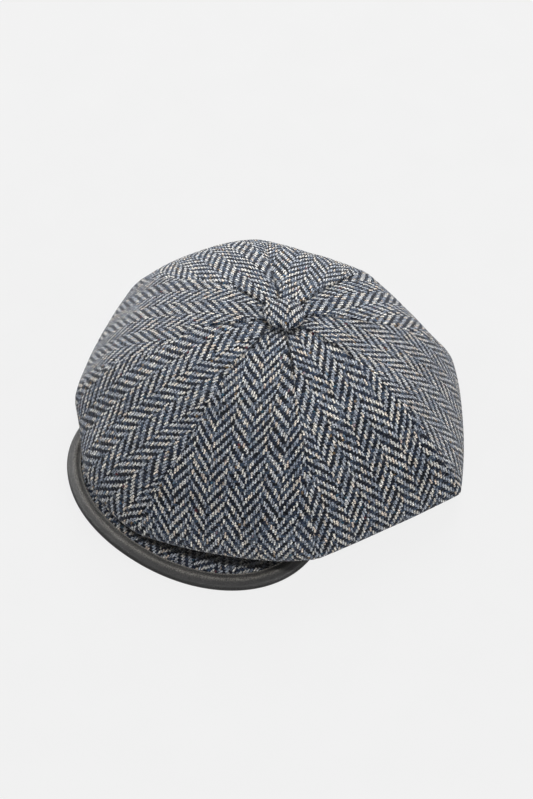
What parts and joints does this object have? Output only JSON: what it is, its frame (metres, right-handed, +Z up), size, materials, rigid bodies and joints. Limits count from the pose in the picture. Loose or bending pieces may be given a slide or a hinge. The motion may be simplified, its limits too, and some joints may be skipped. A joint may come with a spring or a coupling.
{
  "type": "newsboy cap",
  "caption": "Eight-gore herringbone tweed newsboy cap with a covered button, a full soft crown and a leather-bound visor snapped under its front.",
  "frame": {"origin": "centre of the head opening, on the plane that the hem stands on", "axes": "+Z up through the crown, -Y to the front of the cap, +X to the wearer's left"},
  "size_m": [0.277, 0.2558, 0.0943],
  "materials": {
    "crown_tweed": "woven herringbone wool",
    "button_tweed": "woven herringbone wool",
    "visor_tweed": "woven herringbone wool",
    "lining_satin": "satin",
    "interlining_canvas": "coarse canvas",
    "sweatband_leather": "satin",
    "label_cloth": "woven, blank",
    "button_metal": "plain",
    "visor_board": "matte",
    "visor_leather": "satin grain",
    "stud_metal": "dark antique"
  },
  "bodies": {
    "root": {"crown_panel_left_1": "crown_tweed", "crown_panel_left_2": "crown_tweed", "crown_panel_left_3": "crown_tweed", "crown_panel_left_4": "crown_tweed", "crown_panel_right_1": "crown_tweed", "crown_panel_right_2": "crown_tweed", "crown_panel_right_3": "crown_tweed", "crown_panel_right_4": "crown_tweed", "lining_panel_left_1": "lining_satin", "lining_panel_left_2": "lining_satin", "lining_panel_left_3": "lining_satin", "lining_panel_left_4": "lining_satin", "lining_panel_right_1": "lining_satin", "lining_panel_right_2": "lining_satin", "lining_panel_right_3": "lining_satin", "lining_panel_right_4": "lining_satin", "outer_band": "crown_tweed", "band_interlining": "interlining_canvas", "sweatband": "sweatband_leather", "inner_label": "label_cloth", "button_cover": "button_tweed", "button_shell": "button_metal", "button_back": "button_metal", "button_washer": "button_metal", "socket": "stud_metal", "socket_rivet": "stud_metal"},
    "visor": {"visor_board": "visor_board", "visor_top_cover": "visor_tweed", "visor_under_cover": "visor_leather", "visor_binding": "visor_leather", "stud": "stud_metal", "stud_rivet": "stud_metal"}
  },
  "joints": [
    {"name": "visor_hinge", "type": "hinge", "parent": "root", "child": "visor", "pos_m": [0, -0.078, 0.007], "axis": [1, 0, 0], "range_deg": [0, 8]}
  ]
}
